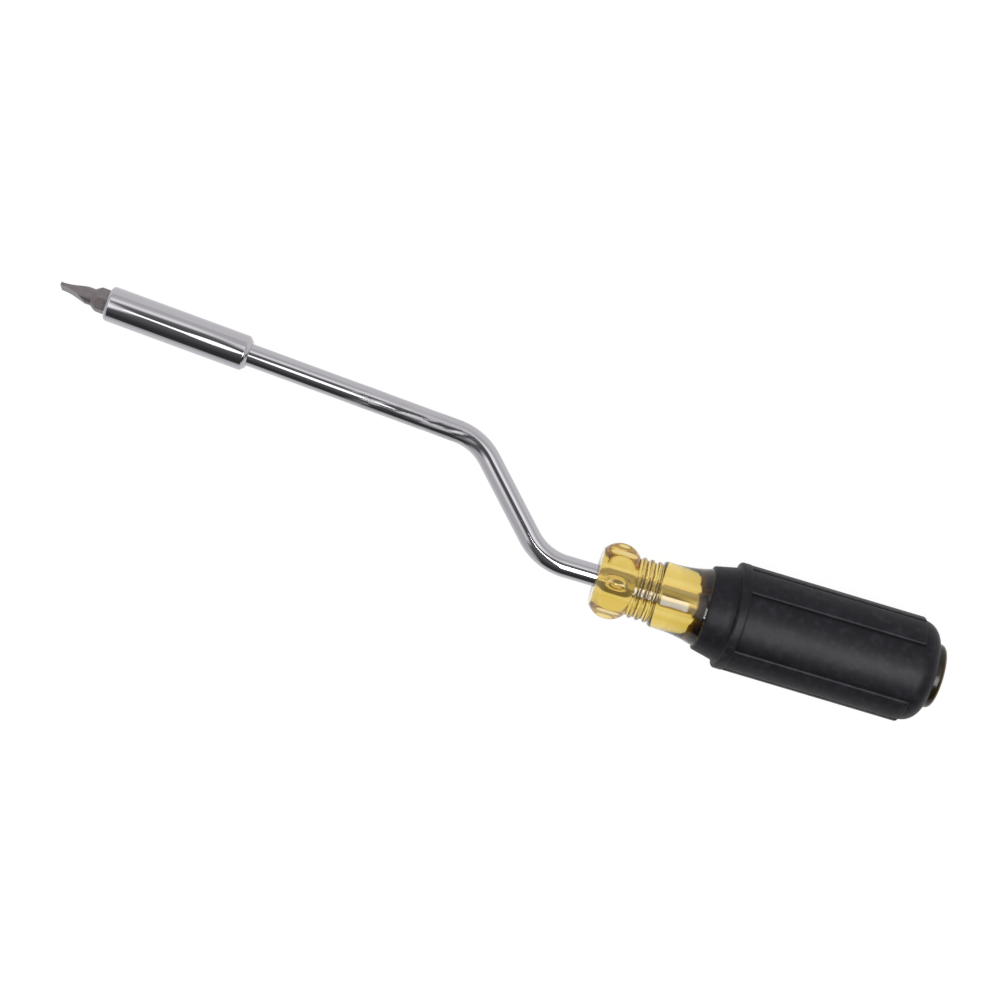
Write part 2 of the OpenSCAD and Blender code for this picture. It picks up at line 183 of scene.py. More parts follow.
floor_white, tree = make_material("white_studio_paper")
path = add_node(tree, "ShaderNodeLightPath")
seen = add_node(tree, "ShaderNodeMath", {
    0: path.outputs["Is Camera Ray"], 1: path.outputs["Is Glossy Ray"]}, operation="ADD")
seen = add_node(tree, "ShaderNodeMath", {
    0: seen.outputs[0], 1: path.outputs["Is Transmission Ray"]}, operation="ADD", use_clamp=True)
share = add_node(tree, "ShaderNodeMath", {0: seen.outputs[0], 1: SHINE_SHARE}, operation="MULTIPLY")
matt = add_node(tree, "ShaderNodeBsdfDiffuse", {"Color": linear("#f4f4f4")})
shine = add_node(tree, "ShaderNodeEmission", {"Color": WHITE, "Strength": SHINE_STRENGTH})
paper = add_node(tree, "ShaderNodeMixShader", {
    0: share.outputs[0], 1: matt.outputs[0], 2: shine.outputs[0]})
add_node(tree, "ShaderNodeOutputMaterial", {"Surface": paper.outputs[0]})

FLOOR_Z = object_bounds()[0][2]
bm = bmesh.new()
bmesh.ops.create_circle(bm, cap_ends=True, segments=64, radius=FLOOR_R)
bmesh.ops.translate(bm, vec=(TOOL_MIDDLE_X, 0, FLOOR_Z), verts=bm.verts)
floor_mesh = bpy.data.meshes.new("floor")
bm.to_mesh(floor_mesh)
bm.free()
floor = bpy.data.objects.new("floor", floor_mesh)
floor.data.materials.append(floor_white)
scene.collection.objects.link(floor)
floor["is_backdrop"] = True
print("floor lies at z =", round(FLOOR_Z, 5))

# %% [markdown]
# ## The light
# Bright plating has no look of its own: it shows what stands round it. The tool was lit in a white
# tent with an open front, from softboxes round a dark camera. We could build the tent from planes,
# but a world that is painted by direction gives the same walls with nothing in the way of other
# views. One angle runs over the top of the tool, from the back wall to the open front, and a second
# measure runs sideways. The dark opening is narrow round the camera and gets wider towards the front.
# The camera itself sees plain white, and rays that have passed through the amber see about half white
# and half tent, so that the clear plastic is bright and still has the tent's contrast in it.

# %% Light tent
OPENING_MIDDLE = 0.085

world = bpy.data.worlds.new("light_tent")
world.use_nodes = True
scene.world = world
tree = world.node_tree
tree.nodes.clear()
ray = add_node(tree, "ShaderNodeTexCoord").outputs["Generated"]
facing = add_node(tree, "ShaderNodeVectorMath", {0: ray, 1: LENS_BACK}, operation="DOT_PRODUCT")
frontward = add_node(tree, "ShaderNodeVectorMath", {0: ray, 1: -lens_up}, operation="DOT_PRODUCT")
sideways = add_node(tree, "ShaderNodeVectorMath", {0: ray, 1: lens_right}, operation="DOT_PRODUCT")
over_angle = add_node(tree, "ShaderNodeMath", {
    0: frontward.outputs["Value"], 1: facing.outputs["Value"]}, operation="ARCTAN2")
over_place = add_node(tree, "ShaderNodeMapRange", {0: over_angle.outputs[0], 1: -math.pi, 2: math.pi})
off_middle = add_node(tree, "ShaderNodeMath", {
    0: sideways.outputs["Value"], 1: OPENING_MIDDLE}, operation="SUBTRACT")
side_size = add_node(tree, "ShaderNodeMath", {0: off_middle.outputs[0]}, operation="ABSOLUTE")
print("directions measured with", len(tree.nodes), "nodes")

# %% [markdown]
# Now each direction gets its level. A colour ramp holds the levels over the top, in degrees from the
# camera: the back wall, a bright band, the dark opening and the front wall. Beside the opening stand
# the side walls, with a brighter rim overhead.

# %% Levels of the tent
OPENING_NARROW = 0.275
OPENING_WIDE = 0.7
OPENING_SOFT = 0.07
WHITE_THROUGH_AMBER = 0.45
WALL = 0.8
RIM = 1.8

tent_stops = [
    (-52, WALL), (-44, 0.95), (-36, 1.45), (-30, 1.5), (-26, 1.15), (-20, 0.3), (-14, 0.2),
    (0, 0.14), (10, 0.14), (20, 0.2), (45, 0.11), (60, 0.06), (88, 0.05), (97, WALL)]
over_top = add_node(tree, "ShaderNodeValToRGB", {0: over_place.outputs[0]})
marks = over_top.color_ramp.elements
while len(marks) < len(tent_stops):
    marks.new(0.5)
for mark, (degrees, level) in zip(marks, tent_stops):
    mark.position = 0.5 + degrees / 360
    mark.color = (level, level, level, 1)
opening = add_node(tree, "ShaderNodeMapRange", {
    0: over_angle.outputs[0], 1: math.radians(10), 2: math.radians(35),
    3: OPENING_NARROW, 4: OPENING_WIDE})
outside = add_node(tree, "ShaderNodeMath", {
    0: side_size.outputs[0], 1: opening.outputs[0]}, operation="SUBTRACT")
beside = add_node(tree, "ShaderNodeMapRange", {0: outside.outputs[0], 1: -OPENING_SOFT, 2: OPENING_SOFT})
overhead = add_node(tree, "ShaderNodeMapRange", {
    0: over_angle.outputs[0], 1: math.radians(-35), 2: math.radians(-18), 3: WALL, 4: RIM})
rim = add_node(tree, "ShaderNodeMapRange", {
    0: side_size.outputs[0], 1: 0.42, 2: 0.75, 3: overhead.outputs[0], 4: WALL})
dome = add_node(tree, "ShaderNodeMix", {
    0: beside.outputs[0], 6: over_top.outputs["Color"], 7: rim.outputs[0]}, data_type="RGBA")
lit = add_node(tree, "ShaderNodeBackground", {"Color": dome.outputs[2]})
white = add_node(tree, "ShaderNodeBackground", {"Color": WHITE})
path = add_node(tree, "ShaderNodeLightPath")
in_white = add_node(tree, "ShaderNodeMath", {
    0: path.outputs["Is Transmission Ray"], 1: WHITE_THROUGH_AMBER, 2: path.outputs["Is Camera Ray"]},
    operation="MULTIPLY_ADD", use_clamp=True)
both = add_node(tree, "ShaderNodeMixShader", {
    0: in_white.outputs[0], 1: lit.outputs[0], 2: white.outputs[0]})
add_node(tree, "ShaderNodeOutputWorld", {"Surface": both.outputs[0]})
print("light tent painted with", len(tree.nodes), "nodes")

# %% [markdown]
# The softboxes are near the tool, so the line of light that each draws along the plating moves from
# piece to piece. A painted world is infinitely far away and can't do that, so these are area lamps.
# Each is placed in the camera's own directions, 15 cm over the tool: to the right and down in the
# picture, in metres from the middle of the view. The left one and the middle one overlap and make a
# wedge, which gives the line of light on the holder its taper. Plating and polished plastic show such
# a lamp itself, which is far brighter than the white that it lights. So each softbox is two lamps: one
# lights the tool at a plain level, and one, a little nearer, is only seen in reflections.

# %% Softboxes
LAMP_RISE = 0.15
LENS_AWAY = 0.613
GLARE_NEARER = 0.002
PLAIN_LEVEL = 1.2
over_tool = camera.matrix_world @ Matrix.Translation((0, 0, LAMP_RISE - LENS_AWAY))


def softbox(name, shape, middle, size, turn, glare):
    """A flat lamp at a place to the right and down, turned in its plane, with an even brightness."""
    place = Matrix.Translation((middle[0], -middle[1], 0)) @ Matrix.Rotation(math.radians(turn), 4, "Z")
    for part, strength in ((name, PLAIN_LEVEL), (name + "_glare", glare)):
        lamp = bpy.data.lights.new(part, "AREA")
        lamp.shape = shape
        lamp.size, lamp.size_y = size
        area = size[0] * size[1] * (math.pi / 4 if shape == "ELLIPSE" else 1)
        lamp.energy = strength * math.pi * area
        box = bpy.data.objects.new(part, lamp)
        box.visible_camera = False
        box.visible_diffuse = part == name
        box.visible_transmission = part == name
        nearer = 0 if part == name else GLARE_NEARER
        box.matrix_world = over_tool @ Matrix.Translation((0, 0, -nearer)) @ place
        scene.collection.objects.link(box)
        print(part, "shines with", round(lamp.energy, 3), "W")


softbox("softbox_left", "ELLIPSE", (-0.090, -0.016), (0.104, 0.025), turn=-30, glare=1.6)
softbox("softbox_middle", "ELLIPSE", (-0.065, -0.007), (0.056, 0.056), turn=0, glare=1.6)
softbox("softbox_right", "RECTANGLE", (0.0953, 0.0827), (0.170, 0.086), turn=-16.6, glare=9.0)

# %% [markdown]
# ## Bright plating
# The rod is polished steel with chromium over nickel: a mirror with a slightly cold grey. What makes
# it read as metal and not as a perfect mirror is small: the polish is a little uneven, the surface
# waves by a few microns, and ahead of the front bend it is scuffed. Each of these is one noise. The
# scuffs run along the bar, so the coordinates of their noise are drawn out that way.

# %% Material: plated rod
CHROMIUM = linear("#b3b1b6")
SCUFF_AHEAD = 20
SCUFF_REACH = 14
SCUFF_FADE = 22


def per_mm(size):
    """Noise scale for features of a real size in millimetres, on coordinates in metres."""
    return 1000 / size


plated_rod, tree = make_material("chromium_plated_steel_rod")
place = add_node(tree, "ShaderNodeTexCoord").outputs["Object"]
polish = add_node(tree, "ShaderNodeTexNoise", {"Vector": place, "Scale": per_mm(9), "Detail": 4})
waves = add_node(tree, "ShaderNodeTexNoise", {"Vector": place, "Scale": per_mm(6), "Detail": 2})
drawn_out = add_node(tree, "ShaderNodeVectorMath", {0: place, 1: (0.1, 1, 1)}, operation="MULTIPLY")
scuffs = add_node(tree, "ShaderNodeTexNoise", {
    "Vector": drawn_out.outputs[0], "Scale": per_mm(0.9), "Detail": 4})
streaks = add_node(tree, "ShaderNodeMapRange", {0: scuffs.outputs[0], 1: 0.43, 2: 0.56})
scuffed_at = bend_plane @ (FRONT_CORNER - SCUFF_AHEAD * Vector((math.cos(TOE), -math.sin(TOE), 0)))
reach = add_node(tree, "ShaderNodeVectorMath", {0: place, 1: scuffed_at}, operation="DISTANCE")
near_bend = add_node(tree, "ShaderNodeMapRange", {
    0: reach.outputs["Value"], 1: SCUFF_FADE * MM, 2: SCUFF_REACH * MM})
scuffed = add_node(tree, "ShaderNodeMath", {
    0: streaks.outputs[0], 1: near_bend.outputs[0]}, operation="MULTIPLY")
height = add_node(tree, "ShaderNodeMath", {0: scuffed.outputs[0], 1: 0.06, 2: waves.outputs[0]},
                  operation="MULTIPLY_ADD")
dull = add_node(tree, "ShaderNodeMapRange", {0: polish.outputs[0], 1: 0.35, 2: 0.7, 3: 0.045, 4: 0.10})
duller = add_node(tree, "ShaderNodeMath", {0: scuffed.outputs[0], 1: 0.36, 2: dull.outputs[0]},
                  operation="MULTIPLY_ADD")
bump = add_node(tree, "ShaderNodeBump", {
    "Height": height.outputs[0], "Strength": 0.25, "Distance": 0.02 * MM})
metal = add_node(tree, "ShaderNodeBsdfPrincipled", {
    "Base Color": CHROMIUM, "Metallic": 1.0, "Roughness": duller.outputs[0], "Normal": bump.outputs[0]})
add_node(tree, "ShaderNodeOutputMaterial", {"Surface": metal.outputs[0]})
print("made", plated_rod.name)

# %% [markdown]
# ## The shank
# A bar that is bent is made the way the workshop makes it: one round section that travels along the
# bar. Extruding the end ring gives a straight run, and spinning it about a bend's centre gives the
# bend, so the section stays true everywhere. The tail has a chamfered end and the groove for the ring
# that keeps the handle on.

# %% Sizes of the bar and its two moves
ROD_R = 6.35 / 2
BAR_POINTS = 80
BEND_R = 16.5
REAR_BEND = math.radians(46)
FRONT_BEND = math.radians(42.5)
ARM_TURN = math.pi - REAR_BEND
TAIL_S = 14.06
TAIL_CHAMFER = 0.5
RING_S = 16.56
RING_GROOVE_W = 1.0
RING_GROOVE_DEPTH = 0.6
HOLDER_SEAT = 11.9
REAR_CORNER = Vector((-115.7, 0, 0))


def heading(angle):
    return Vector((math.cos(angle), math.sin(angle), 0))


def ring_of(made):
    verts = {item for item in made if isinstance(item, bmesh.types.BMVert)}
    edges = [item for item in made if isinstance(item, bmesh.types.BMEdge) and set(item.verts) <= verts]
    return list(verts), edges


def run_on(bm, edges, travel, radius_change=0.0):
    """Extrudes the bar's end ring along a travel, and may change the ring's radius."""
    verts, edges = ring_of(bmesh.ops.extrude_edge_only(bm, edges=edges)["geom"])
    centre = sum((v.co for v in verts), Vector()) / len(verts)
    for v in verts:
        v.co += (v.co - centre).normalized() * radius_change
    bmesh.ops.translate(bm, vec=travel, verts=verts)
    return edges


def bend_on(bm, edges, centre, angle, steps=40):
    """Spins the bar's end ring about a bend's centre."""
    verts = list({v for e in edges for v in e.verts})
    made = bmesh.ops.spin(bm, geom=verts + edges, cent=centre, axis=(0, 0, 1), angle=angle, steps=steps)
    return ring_of(made["geom_last"])[1]


rear_tangent = BEND_R * math.tan(REAR_BEND / 2)
front_tangent = BEND_R * math.tan(FRONT_BEND / 2)
print("bends start", round(rear_tangent, 2), "and", round(front_tangent, 2), "mm from their corners")

# %% [markdown]
# The bar starts at its tail, inside the handle, and ends in the holder. On the way come the chamfer,
# the groove, the long tail, the rear bend, the arm, the front bend and the straight front.

# %% Shank
bm = bmesh.new()
across_x = Matrix.Translation((-TAIL_S, 0, 0)) @ Matrix.Rotation(math.radians(90), 4, "Y")
bmesh.ops.create_circle(bm, segments=BAR_POINTS, radius=ROD_R - TAIL_CHAMFER, matrix=across_x)
ring = list(bm.edges)
bmesh.ops.edgeloop_fill(bm, edges=ring)
ahead = heading(math.pi)
ring = run_on(bm, ring, ahead * TAIL_CHAMFER, TAIL_CHAMFER)
ring = run_on(bm, ring, ahead * (RING_S - TAIL_S - TAIL_CHAMFER))
ring = run_on(bm, ring, Vector(), -RING_GROOVE_DEPTH)
ring = run_on(bm, ring, ahead * RING_GROOVE_W)
ring = run_on(bm, ring, Vector(), RING_GROOVE_DEPTH)
ring = run_on(bm, ring, ahead * (-REAR_CORNER.x - rear_tangent - RING_S - RING_GROOVE_W))
ring = bend_on(bm, ring, REAR_CORNER + Vector((rear_tangent, BEND_R, 0)), -REAR_BEND)
arm_end = FRONT_CORNER - front_tangent * heading(ARM_TURN)
ring = run_on(bm, ring, arm_end - REAR_CORNER - rear_tangent * heading(ARM_TURN))
ring = bend_on(bm, ring, arm_end + BEND_R * heading(ARM_TURN + math.pi / 2), FRONT_BEND)
ring = run_on(bm, ring, (FRONT_REACH + HOLDER_SEAT - front_tangent) * heading(math.pi - TOE))
bmesh.ops.edgeloop_fill(bm, edges=ring)
print("bar has", len(bm.verts), "points")

# %% [markdown]
# Every new piece ends the same way: doubles are merged, faces are turned outwards, the mesh is moved
# into place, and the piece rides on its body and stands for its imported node. One function does that.

# %% Finish a piece
WELD = 0.0005


def add_piece(name, bm, place, body, materials, sharp=35):
    """Moves a finished bmesh into place and makes it the piece that stands for a node."""
    bmesh.ops.remove_doubles(bm, verts=bm.verts, dist=WELD)
    bmesh.ops.recalc_face_normals(bm, faces=bm.faces)
    bmesh.ops.transform(bm, matrix=place, verts=bm.verts)
    mesh = bpy.data.meshes.new(name)
    bm.to_mesh(mesh)
    open_edges = sum(1 for e in bm.edges if len(e.link_faces) != 2)
    bm.free()
    mesh.shade_smooth()
    mesh.set_sharp_from_angle(angle=math.radians(sharp))
    for material in materials:
        mesh.materials.append(material)
    piece = bpy.data.objects.new("look_" + name, mesh)
    scene.collection.objects.link(piece)
    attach(piece, body)
    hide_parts(name)
    low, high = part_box(name)
    print(name, len(mesh.polygons), "faces,", open_edges, "open edges, node box",
          [round((b - a) / MM, 2) for a, b in zip(low, high)])


add_piece("shank", bm, bend_plane, "shank", [plated_rod])

# %% [markdown]
# ## The bit holder
# The holder is turned from bar, so its outside is a ring that climbs an outline: a chamfer at the rear,
# a long barrel and a rounded front edge. Then the same ring goes on inwards: over the small step at the
# mouth, down the hexagon socket with its groove for the spring clip, and through the bore that the rod
# is pressed into. A ring can turn from round to hexagon, because each point keeps its angle and only
# its distance from the axis changes.

# %% Sizes and sections of the holder
RING_POINTS = 96
HOLDER_L = 41.5
HOLDER_R = 10.0171 / 2
REAR_CHAMFER = 1.3
SOFT_ALONG = 0.08
SOFT_IN = 0.03
FRONT_EDGE_R = 1.1
FRONT_STEPS = 8
SOCKET_FLAT = 6.51 / 2
SOCKET_FLOOR = 24.8
MOUTH_R = 7.867 / 2
MOUTH_CHAMFER = 0.35
CLIP_GROOVE_R = 4.459
CLIP_GROOVE_REAR = 35.15
CLIP_GROOVE_FRONT = 35.85
ROD_SEAT_R = 6.39 / 2


def hexagon_r(flat, angle):
    """Distance from the axis to a hexagon's edge, with corners at 0, 60 and so on."""
    turn_in = angle % (math.pi / 3) - math.pi / 6
    return flat / math.cos(turn_in)


def climb(bm, edges, place_of):
    """Extrudes a ring and sets each point's distance from Z and height by its angle."""
    verts, edges = ring_of(bmesh.ops.extrude_edge_only(bm, edges=edges)["geom"])
    for v in verts:
        angle = math.atan2(v.co.y, v.co.x)
        radius, height = place_of(angle)
        v.co = (radius * math.cos(angle), radius * math.sin(angle), height)
    return edges


def mouth_edge(angle):
    radius = max(hexagon_r(SOCKET_FLAT, angle), MOUTH_R - MOUTH_CHAMFER)
    return radius, HOLDER_L - (MOUTH_R - radius)


def socket_at(height):
    return lambda angle: (hexagon_r(SOCKET_FLAT, angle), height)


def round_at(radius, height):
    return lambda angle: (radius, height)


print("socket is", round(2 * hexagon_r(SOCKET_FLAT, 0), 2), "mm across its corners")

# %% [markdown]
# With these sections the holder is a list of stations, from the rear face round the outside to the
# mouth and back through the inside. Two stations close together soften each edge of the chamfer.

# %% Bit holder
bm = bmesh.new()
bmesh.ops.create_circle(bm, segments=RING_POINTS, radius=ROD_SEAT_R)
ring = list(bm.edges)
stations = [
    round_at(HOLDER_R - REAR_CHAMFER, 0),
    round_at(HOLDER_R - REAR_CHAMFER + SOFT_ALONG, SOFT_IN),
    round_at(HOLDER_R - SOFT_IN, REAR_CHAMFER - SOFT_ALONG),
    round_at(HOLDER_R, REAR_CHAMFER),
    round_at(HOLDER_R, HOLDER_L - FRONT_EDGE_R),
]
for step in range(1, FRONT_STEPS + 1):
    lean = math.radians(90 * step / FRONT_STEPS)
    stations.append(round_at(HOLDER_R - FRONT_EDGE_R * (1 - math.cos(lean)),
                             HOLDER_L - FRONT_EDGE_R * (1 - math.sin(lean))))
stations += [
    round_at(MOUTH_R, HOLDER_L),
    mouth_edge,
    lambda angle: (hexagon_r(SOCKET_FLAT, angle), mouth_edge(angle)[1] - 0.01),
    socket_at(CLIP_GROOVE_FRONT),
    round_at(CLIP_GROOVE_R, CLIP_GROOVE_FRONT),
    round_at(CLIP_GROOVE_R, CLIP_GROOVE_REAR),
    socket_at(CLIP_GROOVE_REAR),
    socket_at(SOCKET_FLOOR),
    round_at(ROD_SEAT_R, SOCKET_FLOOR),
    round_at(ROD_SEAT_R, 0),
]
for station in stations:
    ring = climb(bm, ring, station)
print("holder's ring climbs", len(stations), "stations")

# %% [markdown]
# The holder wears the same plating as the rod, but it was turned and polished on a lathe, so what
# little unevenness it has runs round it. A noise that is stretched along the ring gives that: we turn
# the coordinates to the holder's axis and squeeze them along it.

# %% Material: plated holder
plated_holder, tree = make_material("chromium_plated_turned_steel")
place = add_node(tree, "ShaderNodeTexCoord").outputs["Object"]
axis_turn = on_bit.to_3x3().normalized().transposed().to_euler()
local = add_node(tree, "ShaderNodeMapping", {"Vector": place, "Rotation": axis_turn})
lathe = add_node(tree, "ShaderNodeMapping", {"Vector": local.outputs[0], "Scale": (0.15, 0.15, 1.0)})
lines = add_node(tree, "ShaderNodeTexNoise", {
    "Vector": lathe.outputs[0], "Scale": per_mm(1.2), "Detail": 3})
smears = add_node(tree, "ShaderNodeTexNoise", {"Vector": place, "Scale": per_mm(7), "Detail": 4})
dull = add_node(tree, "ShaderNodeMapRange", {0: smears.outputs[0], 1: 0.35, 2: 0.7, 3: 0.05, 4: 0.11})
bump = add_node(tree, "ShaderNodeBump", {
    "Height": lines.outputs[0], "Strength": 0.12, "Distance": 0.01 * MM})
metal = add_node(tree, "ShaderNodeBsdfPrincipled", {
    "Base Color": CHROMIUM, "Metallic": 1.0, "Roughness": dull.outputs[0], "Normal": bump.outputs[0]})
add_node(tree, "ShaderNodeOutputMaterial", {"Surface": metal.outputs[0]})

add_piece("bit_holder", bm, on_bit, "shank", [plated_holder], sharp=30)

# %% [markdown]
# ## The insert bit
# The bit is a hexagon bar with a working end on each side: a slotted blade in use, and a cross point
# in the holder. Each end is cut from a round neck, and the hexagon's corners are turned down to cones.
# All of these sections are star-shaped, so one ring of 96 points can climb from the point to the blade.
# For the blade the ring becomes a rectangle: a point at 45 degrees goes to the rectangle's corner.

# %% Insert bit
HEX_FLAT = 6.35 / 2
HEX_CORNER = 3.64
CONE_WIDE = 3.686
CONE_L = 1.9
NECK_R = 2.4
CONE_STEPS = 12
CROSS_TIP_R = 1.15
CROSS_CONE_L = 4.8
CROSS_L = 9.0
CROSS_STEPS = 25
WING_HALF = 0.55
WING_DRAFT = math.radians(9)
BIT_A = 15.1
HEX_A = 26.0
HEX_END_A = 44.0
TIP_A = 55.1


def bit_hexagon(height):
    past = max(HEX_A - height, height - HEX_END_A, 0)
    cone = CONE_WIDE - past * (CONE_WIDE - NECK_R) / CONE_L

    def place(angle):
        return min(hexagon_r(HEX_FLAT, angle), HEX_CORNER, cone), height

    return place


def cross_point(height):
    up = height - BIT_A
    outside = min(NECK_R, CROSS_TIP_R + up * (NECK_R - CROSS_TIP_R) / CROSS_CONE_L)
    half_wing = WING_HALF + up * math.tan(WING_DRAFT)

    def place(angle):
        nearest = max(min(abs(math.cos(angle)), abs(math.sin(angle))), 1e-6)
        return min(outside, half_wing / nearest), height

    return place


bm = bmesh.new()
bmesh.ops.create_circle(bm, segments=RING_POINTS, radius=NECK_R)
ring = list(bm.edges)
for v in bm.verts:
    angle = math.atan2(v.co.y, v.co.x)
    radius = cross_point(BIT_A)(angle)[0]
    v.co = (radius * math.cos(angle), radius * math.sin(angle), BIT_A)
bmesh.ops.edgeloop_fill(bm, edges=ring)
for step in range(1, CROSS_STEPS + 1):
    ring = climb(bm, ring, cross_point(BIT_A + step * CROSS_L / CROSS_STEPS))
for step in range(1, CONE_STEPS + 1):
    ring = climb(bm, ring, bit_hexagon(HEX_A - CONE_L + step * CONE_L / CONE_STEPS))
for step in range(0, CONE_STEPS + 1):
    ring = climb(bm, ring, bit_hexagon(HEX_END_A + step * CONE_L / CONE_STEPS))
print("ring is at the front neck, with", len(ring), "edges")

# %% [markdown]
# The blade's faces are hollow-ground: each is an arc of a large wheel, so the blade gets thin quickly
# and then stays nearly even to its tip. The two side faces are ground just under the neck's size and
# widen a little towards the tip. Close to the neck the corners of the rectangle would stand outside
# the round bar, so they are drawn in to it.

# %% Blade of the bit
NECK_END = 47.1
GROUND_A = 47.6
BLADE_HALF_W = 4.8 / 2
BLADE_HALF_T = 0.95 / 2
GRIND_R = 16.5
ROOT_R = 2.3
BLADE_STEPS = 15
TIP_BREAK = 0.08
TIP_TRIM = 0.06
chord = Vector((BLADE_HALF_T - ROOT_R, TIP_A - GROUND_A))
middle_of = Vector(((BLADE_HALF_T + ROOT_R) / 2, (TIP_A + GROUND_A) / 2))
to_wheel = math.sqrt(GRIND_R**2 - chord.length_squared / 4)
wheel = middle_of + to_wheel * Vector((chord.y, -chord.x)).normalized()


def blade_section(height):
    along = (height - GROUND_A) / (TIP_A - GROUND_A)
    half_w = ROOT_R + along * (BLADE_HALF_W - ROOT_R)
    half_t = wheel.x - math.sqrt(GRIND_R**2 - (height - wheel.y) ** 2)
    bar_grows = BLADE_HALF_W + 2 * BLADE_HALF_T - NECK_R
    bar = NECK_R + (height - NECK_END) / (TIP_A - NECK_END) * bar_grows
    return half_w, half_t, bar


def climb_blade(bm, edges, height, trim=0.0):
    verts, edges = ring_of(bmesh.ops.extrude_edge_only(bm, edges=edges)["geom"])
    half_w, half_t, bar = blade_section(height)
    for v in verts:
        c = math.cos(places[v[ring_place]])
        s = math.sin(places[v[ring_place]])
        square = max(abs(c), abs(s))
        flat = Vector(((half_w - trim) * c / square, (half_t - trim) * s / square, 0))
        if flat.length > bar:
            flat *= bar / flat.length
        v.co = (flat.x, flat.y, height)
    return edges


ring_place = bm.verts.layers.int.new("ring_place")
ends = sorted({v for e in ring for v in e.verts}, key=lambda v: math.atan2(v.co.y, v.co.x))
places = [math.atan2(v.co.y, v.co.x) for v in ends]
ring = climb(bm, ring, round_at(NECK_R, NECK_END))
for v in {v for e in ring for v in e.verts}:
    angle = math.atan2(v.co.y, v.co.x)
    v[ring_place] = min(range(RING_POINTS), key=lambda i: abs(places[i] - angle))
for step in range(0, BLADE_STEPS + 1):
    ring = climb_blade(bm, ring, GROUND_A + step * (TIP_A - TIP_BREAK - GROUND_A) / BLADE_STEPS)
ring = climb_blade(bm, ring, TIP_A, trim=TIP_TRIM)
bmesh.ops.edgeloop_fill(bm, edges=ring)
print("blade is", round(2 * blade_section(TIP_A)[1], 2), "mm thick at its tip")

# %% [markdown]
# Insert bits are hardened and then phosphated, a grey-brown matt skin of fine crystals. It wears to
# bare steel on the edges, where the bit rubs in the socket and in screws, and the lighter edges are
# also a painted highlight, most of all on the blade's narrow edge. A bevel node compares the rounded
# normal with the true one to find those edges.

# %% Material: phosphated bit steel
bit_steel, tree = make_material("phosphated_tool_steel")
place = add_node(tree, "ShaderNodeTexCoord").outputs["Object"]
cloud = add_node(tree, "ShaderNodeTexNoise", {"Vector": place, "Scale": per_mm(1.6), "Detail": 6})
grain = add_node(tree, "ShaderNodeTexNoise", {"Vector": place, "Scale": per_mm(0.18), "Detail": 3})
skin = add_node(tree, "ShaderNodeMix", {
    0: cloud.outputs[0], 6: linear("#6c6668"), 7: linear("#8c8486")}, data_type="RGBA")
true_normal = add_node(tree, "ShaderNodeNewGeometry").outputs["Normal"]
soft_normal = add_node(tree, "ShaderNodeBevel", {"Radius": 0.22 * MM}, samples=6).outputs[0]
agree = add_node(tree, "ShaderNodeVectorMath", {0: true_normal, 1: soft_normal}, operation="DOT_PRODUCT")
edge = add_node(tree, "ShaderNodeMapRange", {
    0: agree.outputs["Value"], 1: 0.985, 2: 0.9, 3: 0.0, 4: 0.8})
# partly wear, partly painted highlight: lighter steel on the edges
worn_and_lit_edge = add_node(tree, "ShaderNodeMix", {
    0: edge.outputs[0], 6: skin.outputs[2], 7: linear("#b3aeab")}, data_type="RGBA")
dull = add_node(tree, "ShaderNodeMapRange", {0: cloud.outputs[0], 1: 0.3, 2: 0.7, 3: 0.36, 4: 0.5})
bump = add_node(tree, "ShaderNodeBump", {
    "Height": grain.outputs[0], "Strength": 0.35, "Distance": 0.02 * MM})
metal = add_node(tree, "ShaderNodeBsdfPrincipled", {
    "Base Color": worn_and_lit_edge.outputs[2], "Metallic": 0.75, "Roughness": dull.outputs[0],
    "Normal": bump.outputs[0]})
add_node(tree, "ShaderNodeOutputMaterial", {"Surface": metal.outputs[0]})

add_piece("driver_bit", bm, on_bit, "bit", [bit_steel], sharp=28)

# %% [markdown]
# ## The amber handle core
# The core is one clear moulding: a barrel under the grip, a flared waist, three small beads and a
# knob. All of that is a turned form, so half of its outline, bore and all, is drawn once and spun
# round the axis. Arcs are sampled finely, because a clear body shows every facet as a bent line.

# %% Outline of the core
def arc(middle, radius, start, stop, steps):
    """Points of an arc in an outline of (radius, height), with angles from the outward direction."""
    turns = [math.radians(start + (stop - start) * i / steps) for i in range(steps + 1)]
    return [(middle[0] + radius * math.cos(t), middle[1] + radius * math.sin(t)) for t in turns]


def rows(radius, start, stop, count):
    return [(radius, start + (stop - start) * i / count) for i in range(count + 1)]


CORE_FRONT = 99.6
CORE_REAR = 2.5
CORE_REAR_R = 7.625
REAR_CONE = (4.9, 8.9)
GROOVE_R = 8.2
BARREL_R = 11.15
WAIST_R = 9.5
WAIST_FRONT = 82.4
WAIST_L = 3.1
WAIST_EDGE = 1.1
FLARE_R = 33.5
KNOB_MIDDLE = (4.6, 94.3)
KNOB_ARC = 6.3
FIRST_BEAD = WAIST_FRONT + 1
BEAD_PITCH = 2.2
BEADS = 3
BEAD_AXIS_R = 8.15
BEAD_R = 0.65
BARREL_END = 68.5
JOURNAL_R = 3.255
JOURNAL_END = 87.6
AIR_R = 3.95
BUSH_SEAT_R = 5.025
BUSH_SEAT = 35.36
CAVITY_R = 6.425
CAVITY_FRONT = 20.36

